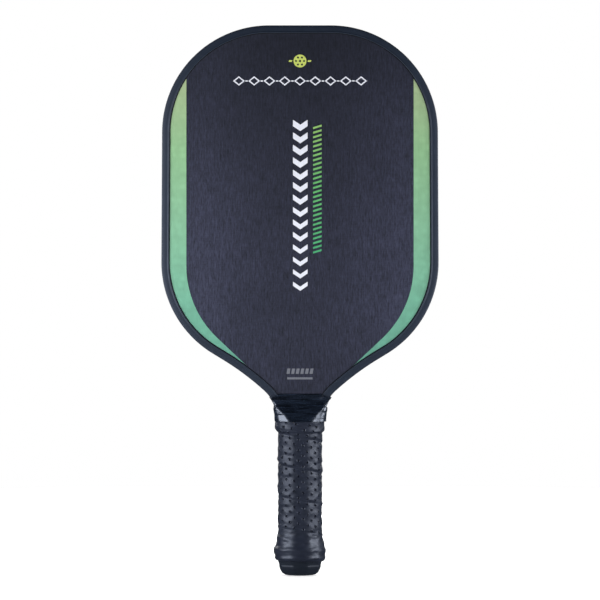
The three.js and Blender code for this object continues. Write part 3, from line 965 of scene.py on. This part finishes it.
def make_tape():
    """The tape follows the grip's end and the throat below, and the guard's lips above."""
    octagon = Octagon(TAPE_COLUMNS, **TAPE_OCTAGON)
    top_width = outline_width(np.array([TAPE_TOP])) + TAPE_THICKNESS
    top_front = profile(TAPE_FRONT, 1, np.array([TAPE_TOP]), TAPE_BLUR)
    top_x = octagon.rings(top_width, top_front)[0][0]
    top = TAPE_TOP - (TAPE_TOP - TAPE_TOP_SIDES) * smoothstep(np.abs(top_x), *TAPE_DROP)
    level = np.linspace(0, 1, TAPE_ROWS)[:, None]
    heights = TAPE_BOTTOM + (top - TAPE_BOTTOM) * level
    guard = smoothstep(heights, GUARD_END - 0.6, GUARD_END + 0.6)
    wide = np.interp(heights, *np.transpose(TAPE_WIDTHS)) * (1 - guard)
    wide += (outline_width(heights) + TAPE_THICKNESS) * guard
    front = profile(TAPE_FRONT, 1, heights, TAPE_BLUR)
    lipped = np.maximum(front, (GUARD_FACE + TAPE_THICKNESS) * guard)
    x, y, out_x, out_y = (np.zeros_like(heights) for _ in range(4))
    for i in range(TAPE_COLUMNS):
        ring = octagon.rings(wide[:, i], lipped[:, i])
        x[:, i], y[:, i], out_x[:, i], out_y[:, i] = (value[:, i] for value in ring)
    on_guard = smoothstep(np.abs(x), wide - GUARD_LIP - 1.2, wide - GUARD_LIP + 0.6)
    depth = front + (lipped - front) * on_guard
    y = np.sign(y) * np.minimum(np.abs(y), depth)
    relief = tape_relief(octagon.around[None, :], heights)
    outer = np.stack([x + out_x * relief, y + out_y * relief, heights], axis=2)
    inner = outer - np.stack([out_x, out_y, np.zeros_like(heights)], axis=2) * TAPE_THICKNESS
    rings = np.concatenate([outer, inner[::-1]])
    total, size = rings.shape[:2]
    piece = make_piece("finishing_tape_turns", rings.reshape(-1, 3),
                       loft_faces(total, size, True), [tape_vinyl()])
    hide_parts("finishing_tape")


# ---------------------------------------------------------------- butt cap

# Heights with the half width and half thickness there, outside, inside and in the foot's recess.
CAP_OUTSIDE = [(0.0, 8.5, 6.7), (0.35, 10.3, 8.5), (0.9, 11.6, 9.8), (2.2, 13.15, 11.35),
               (3.8, 14.15, 12.35), (5.4, 14.85, 13.05), (6.6, 15.15, 13.35), (7.2, 15.15, 13.35),
               (7.7, 15.1, 13.3), (10.6, 15.95, 14.15), (16.7, 16.5, 14.75), (21, 15.9, 14.2),
               (24.5, 15.0, 13.3)]
CAP_INSIDE = [(24.5, 14.2, 12.55), (6.2, 14.2, 12.55)]
CAP_RECESS = [(0.35, 6.4, 4.8), (0.05, 6.9, 5.2), (0.0, 7.2, 5.5)]
CAP_COLUMNS = 160
CAP_BLUR = 0.45
CAP_FOOT = 1.2

# A row below the cap's end, so that blurring leaves its foot round.
CAP_BELOW = (-2, 5.5, 3.7)


def make_cap():
    """A cup with a rounded foot and a shallow recess under it."""
    top = CAP_OUTSIDE[-1][0]
    heights = np.concatenate([np.linspace(0, 1, 8) ** 1.6 * CAP_FOOT,
                              np.linspace(CAP_FOOT + 0.3, top, 70)])
    wide, thick = (profile([CAP_BELOW, *CAP_OUTSIDE], column, heights, CAP_BLUR)
                   for column in (1, 2))
    wide[0], thick[0] = CAP_OUTSIDE[0][1:]
    recess, inside = np.array(CAP_RECESS), np.array(CAP_INSIDE)
    rows = np.concatenate([recess, np.stack([heights, wide, thick], axis=1), inside])
    octagon = Octagon(CAP_COLUMNS)
    x, y, _, _ = octagon.rings(rows[:, 1], rows[:, 2])
    rings = np.stack([x, y, np.repeat(rows[:, :1], CAP_COLUMNS, axis=1)], axis=2)
    count, size = rings.shape[:2]
    faces = loft_faces(count, size, False)
    faces += [tuple(reversed(range(size))), tuple(range((count - 1) * size, count * size))]
    piece = make_piece("butt_cap_cup", rings.reshape(-1, 3), faces, [cap_plastic()])
    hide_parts("butt_cap")


# ---------------------------------------------------------------- the pieces inside

def dress_frame():
    """Gives every piece that still shows as the CAD made it its own finish."""
    finishes = {
        "core_polymer": speckled("core_polymer", srgb(217, 220, 214), 0.05, (2, 2, 2), 0.6),
        "bond_film": speckled("bond_film", srgb(186, 166, 108), 0.08, (1, 1, 1), 0.4),
        "composite_sheet": speckled("composite_sheet", srgb(36, 38, 43), 0.2, (0.4, 0.4, 3), 0.5),
        "printed_film": printed("film_print_and_painted_light", film_color_with_painted_light, 0.85),
        "adhesive_tape": speckled("white_tape", srgb(232, 229, 220), 0.04, (0.6, 0.6, 0.6), 0.7),
        "handle_pallet": speckled("pallet_wood", srgb(168, 140, 104), 0.2, (0.8, 0.8, 14), 0.65),
        "tack_steel": speckled("tack_steel", srgb(176, 180, 184), 0.08, (0.2, 0.2, 2), 0.35,
                               Metallic=1.0),
    }
    for row in frame["record"]["subparts"]:
        node = frame["nodes"][row["node"]]
        material = finishes.get(row["material_slot"])
        if node.hide_render or material is None:
            continue
        for place in node.material_slots:
            place.material = material


# ---------------------------------------------------------------- stage, light and camera

# The floor, in metres: it glows evenly to the first radius and is white from the second.
FLOOR_RADIUS = 1.15
FLOOR_CORNERS = 96
FLOOR_GAP = 0.0002
LIT_RADIUS = 0.3
WHITE_RADIUS = 0.6

# The camera looks level at a height, and sees a span at the paddle. Both are in millimetres.
VIEW_HEIGHT = 200.3
VIEW_SPAN = 437.2
LENS = 200.0

# The studio's strength below and above, and its tint.
STUDIO_LOW = 0.12
STUDIO_HIGH = 0.05
STUDIO_TINT = (0.7, 0.82, 1, 1)

# Soft boxes: name, azimuth and elevation in degrees, distance, width, height and power. Azimuth 0
# is in front of the paddle and 90 at its right.
AIM = Vector((0, 0, 0.13))
LAMPS = [("left_soft_box", -61, 0, 0.6, 0.3, 0.44, 4.8),
         ("right_soft_box", 73, 0, 0.6, 0.28, 0.44, 4.4),
         ("back_left_box", -155, 24, 1.0, 0.6, 0.6, 7),
         ("back_right_box", 155, 24, 1.0, 0.6, 0.6, 7)]


def make_floor():
    """A pale floor that brightens with distance into the white around it. Glossy surfaces don't
    mirror it."""
    finish = Finish("pale_floor", 0.9, Specular_IOR_Level=0.1)
    finish.shader.inputs["Base Color"].default_value = (0.8, 0.8, 0.8, 1)
    radius = finish.node("ShaderNodeVectorMath", {0: finish.position()}, operation="LENGTH")
    glow = finish.spread(radius.outputs["Value"], LIT_RADIUS, WHITE_RADIUS, 0.5, 1.0)
    finish.shader.inputs["Emission Color"].default_value = (1, 1, 1, 1)
    finish.link(glow, "Emission Strength")
    rim = polygon(0, 0, 2 * FLOOR_RADIUS, 2 * FLOOR_RADIUS, FLOOR_CORNERS)
    mesh = bpy.data.meshes.new("floor")
    mesh.from_pydata([(x, y, BUTT_END - FLOOR_GAP) for x, y in rim], [], [tuple(range(len(rim)))])
    mesh.materials.append(finish.material)
    floor = bpy.data.objects.new("floor", mesh)
    bpy.context.scene.collection.objects.link(floor)
    floor.visible_glossy = False


def make_world():
    """A dim, cool studio, brighter low down. What the camera itself sees past the floor is white
    all round."""
    world = bpy.data.worlds.new("tent")
    bpy.context.scene.world = world
    world.use_nodes = True
    nodes, links = world.node_tree.nodes, world.node_tree.links
    background = nodes["Background"]
    direction = nodes.new("ShaderNodeTexCoord")
    parts = nodes.new("ShaderNodeSeparateXYZ")
    links.new(direction.outputs["Generated"], parts.inputs[0])
    low = nodes.new("ShaderNodeMapRange")
    links.new(parts.outputs["Z"], low.inputs["Value"])
    for socket, value in (("From Min", -0.5), ("From Max", 0.3), ("To Min", STUDIO_LOW),
                          ("To Max", STUDIO_HIGH)):
        low.inputs[socket].default_value = value
    path = nodes.new("ShaderNodeLightPath")
    seen = nodes.new("ShaderNodeMath")
    seen.operation = "MAXIMUM"
    links.new(path.outputs["Is Camera Ray"], seen.inputs[0])
    links.new(low.outputs["Result"], seen.inputs[1])
    links.new(seen.outputs["Value"], background.inputs["Strength"])
    tone = nodes.new("ShaderNodeMix")
    tone.data_type = "RGBA"
    links.new(path.outputs["Is Camera Ray"], tone.inputs[0])
    tone.inputs[6].default_value = STUDIO_TINT
    tone.inputs[7].default_value = (1, 1, 1, 1)
    links.new(tone.outputs[2], background.inputs["Color"])


def make_lamp(name, azimuth, elevation, distance, width, height, power):
    a, e = math.radians(azimuth), math.radians(elevation)
    lamp = bpy.data.lights.new(name, "AREA")
    lamp.shape = "RECTANGLE"
    lamp.size, lamp.size_y, lamp.energy = width, height, power
    made = bpy.data.objects.new(name, lamp)
    bpy.context.scene.collection.objects.link(made)
    back = Vector((math.sin(a) * math.cos(e), -math.cos(a) * math.cos(e), math.sin(e)))
    made.location = AIM + back * distance
    made.rotation_mode = "QUATERNION"
    made.rotation_quaternion = back.to_track_quat("Z", "Y")


def make_camera():
    data = bpy.data.cameras.new("camera")
    data.lens = LENS
    camera = bpy.data.objects.new("camera", data)
    bpy.context.scene.collection.objects.link(camera)
    distance = VIEW_SPAN * MM * LENS / data.sensor_width
    camera.location = (0, -distance, BUTT_END + VIEW_HEIGHT * MM)
    camera.rotation_euler = (math.pi / 2, 0, 0)
    bpy.context.scene.camera = camera
    bpy.context.scene.view_settings.view_transform = "Standard"


# ---------------------------------------------------------------- the paddle

white = printed("white_print", srgb(205, 207, 216), 0.05)
make_print("side_bands", band_shapes(), printed("band_print", band_color, 0.05))
make_print("ball_mark", ball_shapes(), printed("lime_print", srgb(178, 190, 92), 0.06))
make_print("top_row", row_shapes(), white)
make_print("chevrons", chevron_shapes(), white)
make_print("stripes", stripe_shapes(), printed("stripe_print", by_height(STRIPE_COLORS), 0.06))
make_print("small_bars", small_shapes(), printed("faint_print", srgb(98, 100, 108), 0.1))
make_guard()
make_grip()
make_tape()
make_cap()
dress_frame()

make_floor()
make_world()
for lamp_row in LAMPS:
    make_lamp(*lamp_row)
make_camera()
